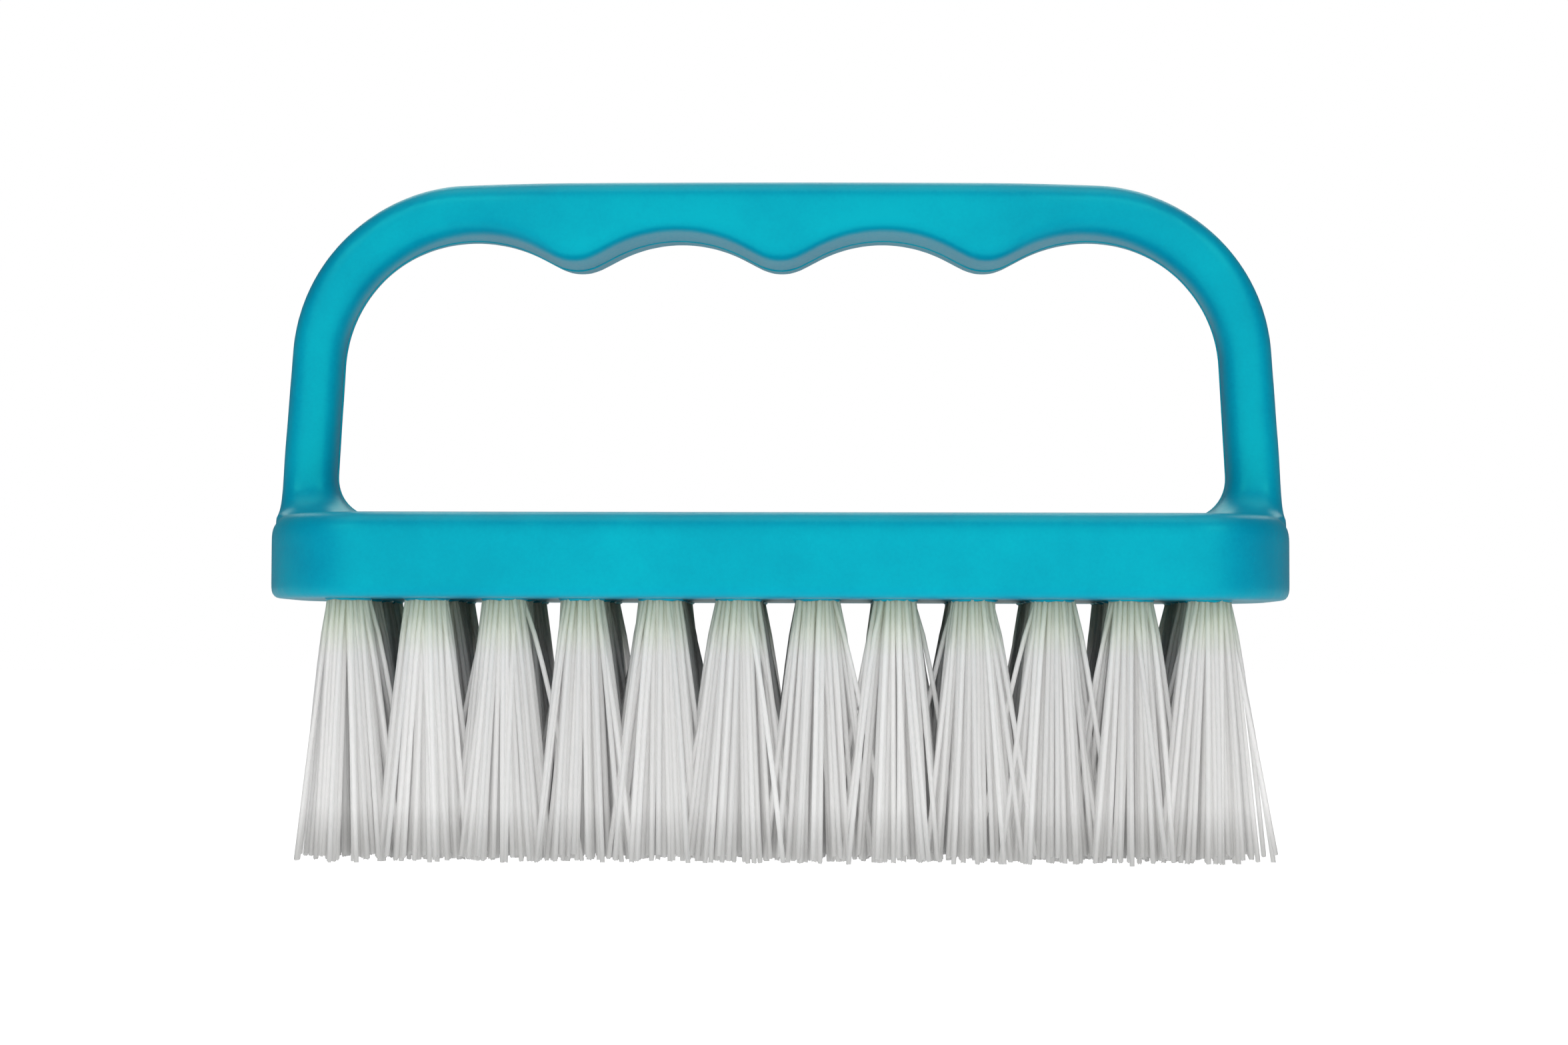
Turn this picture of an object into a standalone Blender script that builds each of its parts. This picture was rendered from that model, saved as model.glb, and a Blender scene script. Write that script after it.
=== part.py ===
# Hand scrub brush: one moulded body, a rounded block with a bow handle, and 48 filament tufts.
# Metres, +Z up, X along the brush. The origin lies on the plane of the bristle tips, under the
# middle of the block, so the brush stands on its bristles at z = 0.

import math
import random

import bmesh
import bpy
from mathutils import Vector

# Brush block
BLOCK_LENGTH = 0.130
BLOCK_WIDTH = 0.042
BLOCK_HEIGHT = 0.0108
BLOCK_CORNER_RADIUS = 0.014
BLOCK_TOP_FILLET = 0.0028
BLOCK_BOTTOM_FILLET = 0.0011

# Bow handle: its front outline
HANDLE_HEIGHT = 0.0435
HANDLE_CROWN = 0.0002
SHOULDER_INSET = 0.00114
SHOULDER_RADIUS = 0.0232
LEG_THICKNESS = 0.0067
LEG_SPLAY = math.radians(4.0)
OPENING_CORNER_RADIUS = 0.0173
OPENING_SPLAY = math.radians(3.2)
BAR_THICKNESS = 0.0072

# Bow handle: its depth front to back, full over the grip and drawn in round the shoulders
HANDLE_DEPTH = 0.0166
LEG_DEPTH = 0.008
TAPER_END_TURN = math.radians(45.0)

# Bow handle: its edges and its mould draft, which leaves a parting ridge at mid depth
OUTER_EDGE_RADIUS = 0.0027
INNER_EDGE_RADIUS = 0.0017
MOULD_DRAFT = math.radians(3.0)
EDGE_FLAT = 0.0003

# Finger grip under the bar: bumps between the fingers
GRIP_BUMPS = 3
GRIP_DEPTH = 0.0039
FLANK_ANGLE_SHARE = 1.7
HOLLOW_RADIUS_SHARE = 0.75

# Feet of the handle, where each leg spreads into the block
FOOT_RADIUS = 0.0055
FOOT_ARC = math.radians(80.0)
FLARE_HEIGHT = 0.0097
FLUSH_STEP = 0.0001
OUTER_SPREAD_SHARE = 0.3
FOOT_OVERRUN = 0.001

# Tufts
BRISTLE_LENGTH = 0.0328
TUFT_COLUMNS = 12
TUFT_ROWS = 4
END_MARGIN = 0.01085
SIDE_MARGIN = 0.0075
HOLE_DIAMETER = 0.0056
HOLE_DEPTH = 0.0075
DRILL_POINT_ANGLE = math.radians(118.0)
HOLE_OVERRUN = 0.001
TUFT_CLEARANCE = 0.0003
TUFT_NECK = 0.0004
FOLD_THICKNESS = 0.0014
FOLD_ARCH = 0.0008
STRANDS_ACROSS = 3
STRAND_TIP_WIDTH = 0.0016
TIP_GAP = 0.0007
TIP_SWAY = 0.0002
END_SPREAD = 0.0023
ROW_SPREAD = 0.0012
SWAY_SEED = 7

# Flat wire anchors, one across each hole
ANCHOR_THICKNESS = 0.00035
ANCHOR_HEIGHT = 0.0018
ANCHOR_BITE = 0.0006

# Smoothness of the curves, in steps
PLAN_CORNER_STEPS = 8
TOP_FILLET_STEPS = 4
BOTTOM_FILLET_STEPS = 2
GRIP_STEPS = 8
BOW_CORNER_STEPS = 10
LEG_STEPS = 2
FLARE_STEPS = 3
FOOT_STEPS = 4
OUTER_EDGE_STEPS = 3
INNER_EDGE_STEPS = 2
HOLE_SIDES = 12
ROOT_LAYERS = 3
SMOOTH_ANGLE = math.radians(32.0)

# Sizes and levels that follow from the ones above
BOW_WIDTH = BLOCK_LENGTH - 2 * SHOULDER_INSET
OPENING_WIDTH = BOW_WIDTH - 2 * LEG_THICKNESS
GRIP_PITCH = (OPENING_WIDTH - 2 * OPENING_CORNER_RADIUS) / GRIP_BUMPS
COLUMN_PITCH = (BLOCK_LENGTH - 2 * END_MARGIN) / (TUFT_COLUMNS - 1)
ROW_PITCH = (BLOCK_WIDTH - 2 * SIDE_MARGIN) / (TUFT_ROWS - 1)
BLOCK_BASE = BRISTLE_LENGTH
BLOCK_TOP = BLOCK_BASE + BLOCK_HEIGHT
BAR_TOP = BLOCK_TOP + HANDLE_HEIGHT
ANCHOR_TOP = BLOCK_BASE + HOLE_DEPTH - FOLD_THICKNESS - 2 * TUFT_CLEARANCE
ANCHOR_BASE = ANCHOR_TOP - ANCHOR_HEIGHT


def quarter(steps, angle=math.pi / 2):
    """Angles from 0 to angle, ends included."""
    return [angle * i / steps for i in range(steps + 1)]


def add_loft(bm, rings):
    """A closed solid through rings of equal count, with a flat cap on each end."""
    loops = [[bm.verts.new(point) for point in ring] for ring in rings]
    for lower, upper in zip(loops, loops[1:]):
        for i in range(len(lower)):
            j = (i + 1) % len(lower)
            bm.faces.new((lower[i], lower[j], upper[j], upper[i]))
    bm.faces.new(reversed(loops[0]))
    bm.faces.new(loops[-1])


def make_object(name, bm):
    """The bmesh as a scene object, its faces turned outwards."""
    bmesh.ops.recalc_face_normals(bm, faces=bm.faces)
    mesh = bpy.data.meshes.new(name)
    bm.to_mesh(mesh)
    bm.free()
    item = bpy.data.objects.new(name, mesh)
    bpy.context.collection.objects.link(item)
    return item


def plan_ring(inset, z):
    """The block's rounded outline in plan, drawn in by inset, at height z."""
    radius = BLOCK_CORNER_RADIUS - inset
    x = BLOCK_LENGTH / 2 - BLOCK_CORNER_RADIUS
    y = BLOCK_WIDTH / 2 - BLOCK_CORNER_RADIUS
    ring = []
    for turn, (side_x, side_y) in enumerate(((1, 1), (-1, 1), (-1, -1), (1, -1))):
        for angle in quarter(PLAN_CORNER_STEPS):
            direction = angle + turn * math.pi / 2
            ring.append((
                side_x * x + radius * math.cos(direction),
                side_y * y + radius * math.sin(direction),
                z,
            ))
    return ring


def make_block():
    """The block as a stack of its outline, rounded over at the top and eased at the bottom."""
    bm = bmesh.new()
    rings = []
    for angle in quarter(BOTTOM_FILLET_STEPS):
        inset = BLOCK_BOTTOM_FILLET * (1 - math.sin(angle))
        rings.append(plan_ring(inset, BLOCK_BASE + BLOCK_BOTTOM_FILLET * (1 - math.cos(angle))))
    for angle in quarter(TOP_FILLET_STEPS):
        inset = BLOCK_TOP_FILLET * (1 - math.cos(angle))
        rings.append(plan_ring(inset, BLOCK_TOP - BLOCK_TOP_FILLET * (1 - math.sin(angle))))
    add_loft(bm, rings)
    return make_object("brush_body", bm)


def grip_drop(distance):
    """How far the bar's underside lies below a finger hollow's top, at a distance along from it.

    A hollow's arc and a bump's arc are joined by a straight flank that touches both.
    """
    half = GRIP_PITCH / 2
    flank = FLANK_ANGLE_SHARE * math.atan2(GRIP_DEPTH, half)
    radii = (half * math.sin(flank) - GRIP_DEPTH * math.cos(flank)) / (1 - math.cos(flank))
    hollow = HOLLOW_RADIUS_SHARE * radii
    bump = radii - hollow
    if distance <= hollow * math.sin(flank):
        return hollow - math.sqrt(hollow ** 2 - distance ** 2)
    if distance >= half - bump * math.sin(flank):
        return GRIP_DEPTH - bump + math.sqrt(bump ** 2 - (half - distance) ** 2)
    return hollow * (1 - math.cos(flank)) + (distance - hollow * math.sin(flank)) * math.tan(flank)


def bow_depth(along):
    """The bow's depth front to back, at a distance along the opening's edge from its middle."""
    taper_end = GRIP_BUMPS * GRIP_PITCH / 2 + OPENING_CORNER_RADIUS * TAPER_END_TURN
    share = min(max((along - GRIP_PITCH) / (taper_end - GRIP_PITCH), 0), 1)
    return HANDLE_DEPTH + (LEG_DEPTH - HANDLE_DEPTH) * share ** 2 * (3 - 2 * share)


def bar_stations():
    """Half of the bar, from its middle to its last finger hollow's top."""
    grip_end = GRIP_BUMPS * GRIP_PITCH / 2
    outer_end = BOW_WIDTH / 2 - SHOULDER_RADIUS
    count = GRIP_BUMPS * GRIP_STEPS
    stations = []
    for i in range(count):
        share = i / count
        x = grip_end * share
        to_hollow = abs((grip_end - x + GRIP_PITCH / 2) % GRIP_PITCH - GRIP_PITCH / 2)
        inner = Vector((x, BAR_TOP - BAR_THICKNESS - grip_drop(to_hollow)))
        outer = Vector((outer_end * share, BAR_TOP - HANDLE_CROWN * share ** 2))
        stations.append((inner, outer, bow_depth(x), 0, 0))
    return stations


def shoulder_stations():
    """The shoulder: an arc along the opening's corner and a wider one outside it."""
    inner_centre = Vector((
        GRIP_BUMPS * GRIP_PITCH / 2,
        BAR_TOP - BAR_THICKNESS - OPENING_CORNER_RADIUS,
    ))
    outer_centre = Vector((
        BOW_WIDTH / 2 - SHOULDER_RADIUS,
        BAR_TOP - HANDLE_CROWN - SHOULDER_RADIUS,
    ))
    inner_turn = quarter(BOW_CORNER_STEPS, math.pi / 2 - OPENING_SPLAY)
    outer_turn = quarter(BOW_CORNER_STEPS, math.pi / 2 - LEG_SPLAY)
    stations = []
    for inner_angle, outer_angle in zip(inner_turn, outer_turn):
        inner = Vector((math.sin(inner_angle), math.cos(inner_angle)))
        outer = Vector((math.sin(outer_angle), math.cos(outer_angle)))
        stations.append((
            inner_centre + OPENING_CORNER_RADIUS * inner,
            outer_centre + SHOULDER_RADIUS * outer,
            bow_depth(inner_centre.x + OPENING_CORNER_RADIUS * inner_angle),
            0,
            0,
        ))
    return stations


def leg_stations(inner_end, outer_end):
    """The leg and its foot, down from the shoulder's end into the block."""
    def down(end, splay, z):
        return Vector((end.x + (end.y - z) * math.tan(splay), z))

    flare_top = BLOCK_TOP + FLARE_HEIGHT
    stations = []
    for i in range(1, LEG_STEPS):
        share = i / LEG_STEPS
        stations.append((
            down(inner_end, OPENING_SPLAY, inner_end.y + (flare_top - inner_end.y) * share),
            down(outer_end, LEG_SPLAY, outer_end.y + (flare_top - outer_end.y) * share),
            LEG_DEPTH,
            0,
            0,
        ))

    heights = []
    for i in range(FLARE_STEPS):
        heights.append(FLARE_HEIGHT + (FOOT_RADIUS - FLARE_HEIGHT) * i / FLARE_STEPS)
    for angle in quarter(FOOT_STEPS, FOOT_ARC):
        heights.append(FOOT_RADIUS * (1 - math.sin(angle)))
    step_out = BLOCK_LENGTH / 2 - FLUSH_STEP - down(outer_end, LEG_SPLAY, BLOCK_TOP).x
    for height in heights:
        below = max(FOOT_RADIUS - height, 0)
        spread = FOOT_RADIUS - math.sqrt(FOOT_RADIUS ** 2 - below ** 2)
        inner = down(inner_end, OPENING_SPLAY, BLOCK_TOP + height)
        inner.x -= spread
        outer = down(outer_end, LEG_SPLAY, BLOCK_TOP + height)
        flare = max(1 - height / FLARE_HEIGHT, 0)
        outer.x += step_out * flare ** 2
        stations.append((inner, outer, LEG_DEPTH, spread, flare))
    sunk = BLOCK_TOP - BLOCK_TOP_FILLET - FOOT_OVERRUN
    inner, outer, depth, spread, flare = stations[-1]
    stations.append((Vector((inner.x, sunk)), Vector((outer.x, sunk)), depth, spread, flare))
    return stations


def bow_stations():
    """Half of the bow from its middle to a foot: (inner, outer, depth, spread, flare) of each section.

    Inner and outer are points in XZ. Spread is how far the leg's foot has grown out of the leg, and
    flare is how far, from 0 to 1, its outer side has turned into the block's flat end.
    """
    stations = bar_stations() + shoulder_stations()
    inner_end, outer_end = stations[-1][:2]
    return stations + leg_stations(inner_end, outer_end)


def bow_section(inner, outer, depth, spread, flare):
    """The bar's section between two points of its outlines: rounded edges, and sides that fall away
    from the parting ridge at mid depth. The foot spreads on its inner side and to the front and
    back, and its outer side loses its draft as it meets the block's flat end."""
    across = outer - inner
    width = across.length
    across.normalize()
    half_depth = depth / 2 + spread
    inner_radius = INNER_EDGE_RADIUS + spread
    outer_radius = OUTER_EDGE_RADIUS + OUTER_SPREAD_SHARE * spread
    draft = half_depth * math.tan(MOULD_DRAFT)
    fit = min(1, (width - 2 * draft - EDGE_FLAT) / (outer_radius + inner_radius))
    outer_radius *= fit
    inner_radius *= fit

    side = []
    drop = (half_depth - inner_radius) * math.tan(MOULD_DRAFT)
    for angle in quarter(INNER_EDGE_STEPS):
        side.append((
            drop + inner_radius * (1 - math.cos(angle)),
            half_depth - inner_radius * (1 - math.sin(angle)),
        ))
    drop = (half_depth - outer_radius) * math.tan(MOULD_DRAFT) * (1 - flare)
    for angle in quarter(OUTER_EDGE_STEPS):
        side.append((
            width - drop - outer_radius * (1 - math.sin(angle)),
            half_depth - outer_radius * (1 - math.cos(angle)),
        ))
    profile = [(0, 0)] + [(t, -y) for t, y in side] + [(width, 0)] + list(reversed(side))
    return [(inner.x + across.x * t, y, inner.y + across.y * t) for t, y in profile]


def make_bow():
    """The bow handle as a loft through its sections, from foot to foot."""
    right = bow_stations()
    left = []
    for inner, outer, *form in reversed(right[1:]):
        left.append((Vector((-inner.x, inner.y)), Vector((-outer.x, outer.y)), *form))
    bm = bmesh.new()
    add_loft(bm, [bow_section(*station) for station in left + right])
    return make_object("bow_blank", bm)


def hole_places():
    """(column, row, x, y) of every tuft hole, from the front left one."""
    places = []
    for row in range(TUFT_ROWS):
        for column in range(TUFT_COLUMNS):
            x = (column - (TUFT_COLUMNS - 1) / 2) * COLUMN_PITCH
            y = (row - (TUFT_ROWS - 1) / 2) * ROW_PITCH
            places.append((column, row, x, y))
    return places


def hole_ring(x, y, z):
    """The hole's outline, with a flat of it square to the anchor that runs along X."""
    ring = []
    for i in range(HOLE_SIDES):
        angle = 2 * math.pi * (i + 0.5) / HOLE_SIDES
        reach = HOLE_DIAMETER / 2
        ring.append((x + reach * math.cos(angle), y + reach * math.sin(angle), z))
    return ring


def make_drills():
    """The shape that all the blind holes are drilled with: straight, with a pointed end."""
    point = HOLE_DIAMETER / 2 / math.tan(DRILL_POINT_ANGLE / 2)
    bm = bmesh.new()
    for _, _, x, y in hole_places():
        mouth = [bm.verts.new(p) for p in hole_ring(x, y, BLOCK_BASE - HOLE_OVERRUN)]
        floor = [bm.verts.new(p) for p in hole_ring(x, y, BLOCK_BASE + HOLE_DEPTH)]
        tip = bm.verts.new((x, y, BLOCK_BASE + HOLE_DEPTH + point))
        for i in range(HOLE_SIDES):
            j = (i + 1) % HOLE_SIDES
            bm.faces.new((mouth[i], mouth[j], floor[j], floor[i]))
            bm.faces.new((floor[i], floor[j], tip))
        bm.faces.new(reversed(mouth))
    return make_object("hole_drills", bm)


def make_anchors():
    """The flat wires across the holes, each with its ends bitten into the block."""
    reach = HOLE_DIAMETER / 2 + ANCHOR_BITE
    half = ANCHOR_THICKNESS / 2
    bm = bmesh.new()
    for _, _, x, y in hole_places():
        corners = ((-reach, -half), (reach, -half), (reach, half), (-reach, half))
        add_loft(bm, [[(x + dx, y + dy, z) for dx, dy in corners] for z in (ANCHOR_BASE, ANCHOR_TOP)])
    return make_object("anchor_wires", bm)


def combine(item, steps):
    """Carries out Boolean steps on item, keeps the result as its mesh and removes the tools."""
    for operation, tool in steps:
        modifier = item.modifiers.new(tool.name, "BOOLEAN")
        modifier.operation = operation
        modifier.object = tool
        tool.hide_render = True
        tool.display_type = "WIRE"
    depsgraph = bpy.context.evaluated_depsgraph_get()
    result = bpy.data.meshes.new_from_object(item.evaluated_get(depsgraph))
    item.modifiers.clear()
    item.data = result
    for _, tool in steps:
        bpy.data.objects.remove(tool)


def finish(item, material):
    """Smooth shading across gentle edges, and the material."""
    item.data.shade_smooth()
    item.data.set_sharp_from_angle(angle=SMOOTH_ANGLE)
    item.data.materials.clear()
    item.data.materials.append(material)


def make_body(material):
    """The moulding: the block and the bow in one, drilled, with the anchors across the holes."""
    body = make_block()
    combine(body, [
        ("UNION", make_bow()),
        ("DIFFERENCE", make_drills()),
        ("UNION", make_anchors()),
    ])
    finish(body, material)
    return body


def root_point(i, j):
    """A corner of the tuft's root grid, its square of cells drawn out to a round bundle."""
    radius = HOLE_DIAMETER / 2 * math.cos(math.pi / HOLE_SIDES) - TUFT_CLEARANCE
    u = 2 * i / STRANDS_ACROSS - 1
    v = 2 * j / STRANDS_ACROSS - 1
    return radius * u * math.sqrt(1 - v ** 2 / 2), radius * v * math.sqrt(1 - u ** 2 / 2)


def tip_line(low_reach, high_reach, i):
    """The middle of strand i of a row at the tips, the row running from -low_reach to high_reach."""
    low = -low_reach + STRAND_TIP_WIDTH / 2
    high = high_reach - STRAND_TIP_WIDTH / 2
    return low + (high - low) * i / (STRANDS_ACROSS - 1)


def add_root(bm, corner):
    """The folded root of a tuft: a round bundle of cells with a tunnel for the anchor.

    corner(i, j, k) gives the shared vertex at a corner of the grid. The bottom is left open.
    """
    cells = range(STRANDS_ACROSS)
    middle = STRANDS_ACROSS // 2
    tunnel = (middle, ROOT_LAYERS // 2)
    solid = {(i, j, k) for i in cells for j in cells for k in range(ROOT_LAYERS) if (j, k) != tunnel}
    sides = (
        ((1, 0, 0), ((1, 0, 0), (1, 1, 0), (1, 1, 1), (1, 0, 1))),
        ((-1, 0, 0), ((0, 0, 0), (0, 0, 1), (0, 1, 1), (0, 1, 0))),
        ((0, 1, 0), ((0, 1, 0), (0, 1, 1), (1, 1, 1), (1, 1, 0))),
        ((0, -1, 0), ((0, 0, 0), (1, 0, 0), (1, 0, 1), (0, 0, 1))),
        ((0, 0, 1), ((0, 0, 1), (1, 0, 1), (1, 1, 1), (0, 1, 1))),
        ((0, 0, -1), ((0, 0, 0), (0, 1, 0), (1, 1, 0), (1, 0, 0))),
    )
    for i, j, k in sorted(solid):
        for (di, dj, dk), square in sides:
            beside = (i + di, j + dj, k + dk)
            if beside in solid or beside[2] < 0:
                continue
            bm.faces.new([corner(i + a, j + b, k + c) for a, b, c in square])


def tuft_corners(bm):
    """A function that gives the vertex at corner (i, j, k) of the tuft's root grid, made once."""
    levels = (
        -TUFT_NECK,
        ANCHOR_BASE - TUFT_CLEARANCE - BLOCK_BASE,
        ANCHOR_TOP + TUFT_CLEARANCE - BLOCK_BASE,
        HOLE_DEPTH - TUFT_CLEARANCE,
    )
    made = {}

    def corner(i, j, k):
        if (i, j, k) not in made:
            u, v = root_point(i, j)
            across = 2 * j / STRANDS_ACROSS - 1
            arch = FOLD_ARCH * across ** 2 if k == ROOT_LAYERS else 0
            made[i, j, k] = bm.verts.new((u, v, levels[k] - arch))
        return made[i, j, k]

    return corner


def add_strand(bm, corner, i, j, tip_x, tip_y):
    """One straight strand from its cell of the root to a square tip, cut flat."""
    square = ((0, 0), (0, 1), (1, 1), (1, 0))
    half = STRAND_TIP_WIDTH / 2
    root = [corner(i + a, j + b, 0) for a, b in square]
    tip = []
    for a, b in square:
        tip.append(bm.verts.new((tip_x + half * (2 * a - 1), tip_y + half * (2 * b - 1), -BRISTLE_LENGTH)))
    for n in range(len(square)):
        m = (n + 1) % len(square)
        bm.faces.new((root[n], root[m], tip[m], tip[n]))
    bm.faces.new(tip)


def make_tuft(name, column, row, x, y, material):
    """One tuft: its folded root round the anchor, and its strands, which fan out to flat-cut tips.

    The tufts at the ends and along the sides of the block spread further outwards.
    """
    sway = random.Random(SWAY_SEED + row * TUFT_COLUMNS + column)
    side_reach = (COLUMN_PITCH - TIP_GAP) / 2
    row_reach = (ROW_PITCH - TIP_GAP) / 2
    left = side_reach + (END_SPREAD if column == 0 else 0)
    right = side_reach + (END_SPREAD if column == TUFT_COLUMNS - 1 else 0)
    front = row_reach + (ROW_SPREAD if row == 0 else 0)
    back = row_reach + (ROW_SPREAD if row == TUFT_ROWS - 1 else 0)

    bm = bmesh.new()
    corner = tuft_corners(bm)
    add_root(bm, corner)
    for i in range(STRANDS_ACROSS):
        for j in range(STRANDS_ACROSS):
            tip_x = tip_line(left, right, i) + sway.uniform(-TIP_SWAY, TIP_SWAY)
            tip_y = tip_line(front, back, j) + sway.uniform(-TIP_SWAY, TIP_SWAY)
            add_strand(bm, corner, i, j, tip_x, tip_y)
    tuft = make_object(name, bm)
    tuft.location = (x, y, BLOCK_BASE)
    finish(tuft, material)
    return tuft


def make_material(name, colour, roughness):
    """A Principled material. colour is linear red, green and blue."""
    material = bpy.data.materials.new(name)
    material.use_nodes = True
    shader = material.node_tree.nodes["Principled BSDF"]
    shader.inputs["Base Color"].default_value = (*colour, 1)
    shader.inputs["Roughness"].default_value = roughness
    shader.inputs["Metallic"].default_value = 0
    material.diffuse_color = (*colour, 1)
    return material


def main():
    for item in list(bpy.data.objects):
        bpy.data.objects.remove(item)
    turquoise = make_material("turquoise polypropylene", (0.0, 0.43, 0.55), 0.42)
    filament = make_material("milky filament", (0.68, 0.69, 0.68), 0.35)
    make_body(turquoise)
    for column, row, x, y in hole_places():
        make_tuft(f"tuft_r{row + 1}_c{column + 1:02d}", column, row, x, y, filament)


main()
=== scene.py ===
# A turquoise hand scrub brush: a moulded block with a bow handle, and four rows of filament tufts.
import math
import random

import bmesh
import bpy
from mathutils import Matrix, Vector


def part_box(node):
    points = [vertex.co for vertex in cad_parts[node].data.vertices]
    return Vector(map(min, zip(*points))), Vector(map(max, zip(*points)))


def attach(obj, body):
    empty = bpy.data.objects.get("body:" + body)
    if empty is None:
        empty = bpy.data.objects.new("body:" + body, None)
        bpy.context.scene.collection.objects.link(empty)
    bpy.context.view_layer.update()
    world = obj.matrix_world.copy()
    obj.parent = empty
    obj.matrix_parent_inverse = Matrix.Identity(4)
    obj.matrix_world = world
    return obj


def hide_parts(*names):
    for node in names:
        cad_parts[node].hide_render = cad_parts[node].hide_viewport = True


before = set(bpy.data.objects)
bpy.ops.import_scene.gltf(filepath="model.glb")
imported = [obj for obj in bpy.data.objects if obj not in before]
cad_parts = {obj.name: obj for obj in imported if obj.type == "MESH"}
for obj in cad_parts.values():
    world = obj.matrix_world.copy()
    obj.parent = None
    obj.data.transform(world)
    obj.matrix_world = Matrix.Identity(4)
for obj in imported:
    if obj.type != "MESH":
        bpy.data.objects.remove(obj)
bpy.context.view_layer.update()        # the scene, after the import
mm = 0.001
scene = bpy.context.scene
maths = "ShaderNodeMath"
vectors = "ShaderNodeVectorMath"

# Helpers shared by every piece


def toLinear(hexColour):
    channels = []
    for i in (0, 2, 4):
        c = int(hexColour[i:i + 2], 16) / 255
        channels.append(c / 12.92 if c <= 0.04045 else ((c + 0.055) / 1.055) ** 2.4)
    return (*channels, 1)


def setInputs(tree, node, values):
    # values: an input's name or number, with a socket to join or a value to set
    for key, value in values.items():
        if isinstance(value, bpy.types.NodeSocket):
            tree.links.new(value, node.inputs[key])
        else:
            node.inputs[key].default_value = value


def addNode(tree, kind, settings=None, values=None, out=0):
    # settings: the node's own properties, or the name of its operation alone
    node = tree.nodes.new(kind)
    if isinstance(settings, str):
        settings = {"operation": settings}
    for name, setting in (settings or {}).items():
        setattr(node, name, setting)
    setInputs(tree, node, values or {})
    return node.outputs[out] if len(node.outputs) else node


def newTree(name, inputs):
    # inputs: name -> socket type, after the geometry itself
    tree = bpy.data.node_groups.new(name, "GeometryNodeTree")
    tree.interface.new_socket("Geometry", in_out="INPUT", socket_type="NodeSocketGeometry")
    for title, kind in inputs.items():
        tree.interface.new_socket(title, in_out="INPUT", socket_type="NodeSocket" + kind)
    tree.interface.new_socket("Geometry", in_out="OUTPUT", socket_type="NodeSocketGeometry")
    return tree, tree.nodes.new("NodeGroupInput").outputs


def endTree(tree, shape, material):
    # every tree that makes a piece ends in real geometry with the piece's material
    real = addNode(tree, "GeometryNodeRealizeInstances", {}, {0: shape})
    painted = addNode(tree, "GeometryNodeSetMaterial", {}, {0: real, "Material": material})
    addNode(tree, "NodeGroupOutput", {}, {0: painted})
    return tree


def bakeTree(item, tree, values):
    # sets the tree's named inputs, keeps what it makes as a plain mesh and drops the modifier
    modifier = item.modifiers.new(tree.name, "NODES")
    modifier.node_group = tree
    for socket in tree.interface.items_tree:
        if socket.in_out == "INPUT" and socket.name in values:
            modifier[socket.identifier] = values[socket.name]
    bakeModifiers(item)


def bakeModifiers(item):
    graph = bpy.context.evaluated_depsgraph_get()
    made = bpy.data.meshes.new_from_object(
        item.evaluated_get(graph), preserve_all_data_layers=True, depsgraph=graph)
    item.modifiers.clear()
    item.data = made
    item.data.name = item.name


def meshObject(name, bm):
    mesh = bpy.data.meshes.new(name)
    bm.to_mesh(mesh)
    bm.free()
    item = bpy.data.objects.new(name, mesh)
    scene.collection.objects.link(item)
    return item


def loftRings(bm, rings):
    # a closed skin through rings of equal count, capped at both ends
    loops = [[bm.verts.new(point) for point in ring] for ring in rings]
    for lower, upper in zip(loops, loops[1:]):
        for i in range(len(lower)):
            j = (i + 1) % len(lower)
            bm.faces.new((lower[i], lower[j], upper[j], upper[i]))
    bm.faces.new(reversed(loops[0]))
    bm.faces.new(loops[-1])


def turn(steps, angle=math.pi / 2):
    return [angle * i / steps for i in range(steps + 1)]


# Materials

noiseLow, noiseHigh = 0.3, 0.7    # most of a noise texture lies between these


def newMaterial(name):
    material = bpy.data.materials.new(name)
    material.use_nodes = True
    tree = material.node_tree
    return material, tree, tree.nodes["Principled BSDF"]


plastic = {                # sRGB hex and millimetres
    "body": "0090B1",
    "pale": "0098B6",      # where the resin flowed thin
    "deep": "0088AB",
    "toneReach": 0.18,     # of the noise, from the body's tone to either of those two
    "smoothest": 0.33,     # roughness
    "roughest": 0.44,
    "ior": 1.5,
    "specular": 1.0,
    "specularTint": "30FFD4",
    "grain": 0.45,         # spark-eroded mould texture
    "grainDepth": 0.016,
    "mottle": 0.35,        # how much the grain shows in the colour
    "flow": 14.0,          # slow drifts of shade
    "scratch": 2.1,        # from one hairline to the next
    "scratchWay": (0.3, 0.5, 0.7),
    "scratchStretch": (1, 14, 9),
    "scratchFrom": 0.66,   # of the noise, where a scratch starts
    "scratchFull": 0.74,
    "scratchDepth": 0.6,   # of the grain's depth
}


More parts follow.
